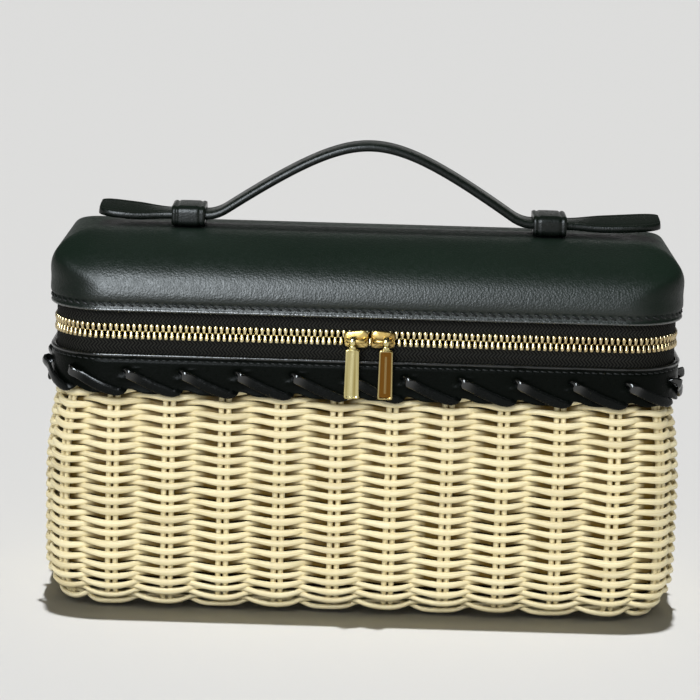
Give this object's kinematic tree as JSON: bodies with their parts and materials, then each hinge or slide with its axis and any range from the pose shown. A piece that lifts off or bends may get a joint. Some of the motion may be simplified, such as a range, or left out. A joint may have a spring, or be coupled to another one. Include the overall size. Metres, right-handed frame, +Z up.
{
  "type": "woven travel bag",
  "caption": "Box-shaped cane travel bag with a laced leather collar, a zipped leather lid hinged at the back and a strap handle on top.",
  "frame": {"origin": "on the floor under the middle of the basket", "axes": "+X to the right along the bag's length, +Y to the back hinge, +Z up; the zip pulls face -Y"},
  "size_m": [0.2684, 0.1122, 0.1935],
  "materials": {
    "cane": "natural peeled cane, lightly sealed",
    "bag_leather": "smooth fine-grained, semi-gloss",
    "lace_leather": "smooth, semi-gloss",
    "lining_cloth": "plain woven cotton",
    "zip_tape": "twill-woven polyester",
    "zip_brass": "polished, pale gold",
    "pull_brass": "polished, pale gold"
  },
  "bodies": {
    "base": {"basket": "cane", "base_weave": "cane", "lining": "lining_cloth", "collar": "bag_leather", "lace": "lace_leather", "zip_tape_lower": "zip_tape", "zip_teeth_lower": "zip_brass", "hinge_lower": "bag_leather"},
    "lid": {"lid": "bag_leather", "lid_lining": "lining_cloth", "zip_tape_upper": "zip_tape", "zip_teeth_upper": "zip_brass", "hinge_upper": "bag_leather", "handle": "bag_leather", "keeper_left": "bag_leather", "keeper_right": "bag_leather"},
    "slider_left": {"slider_left": "pull_brass"},
    "slider_right": {"slider_right": "pull_brass"},
    "pull_left": {"pull_left": "pull_brass"},
    "pull_right": {"pull_right": "pull_brass"}
  },
  "joints": [
    {"name": "lid_hinge", "type": "hinge", "parent": "base", "child": "lid", "pos_m": [0, 0.05, 0.1186], "axis": [-1, 0, 0], "range_deg": [0, 100]},
    {"name": "slider_left_run", "type": "slide", "parent": "base", "child": "slider_left", "axis": [-1, 0, 0], "range_m": [0, 0.09]},
    {"name": "slider_right_run", "type": "slide", "parent": "base", "child": "slider_right", "axis": [1, 0, 0], "range_m": [0, 0.09]},
    {"name": "pull_left_swing", "type": "hinge", "parent": "slider_left", "child": "pull_left", "pos_m": [-0.0053, -0.05545, 0.1181], "axis": [-1, 0, 0], "range_deg": [0, 150]},
    {"name": "pull_right_swing", "type": "hinge", "parent": "slider_right", "child": "pull_right", "pos_m": [0.0085, -0.05545, 0.1181], "axis": [-1, 0, 0], "range_deg": [0, 150]}
  ]
}
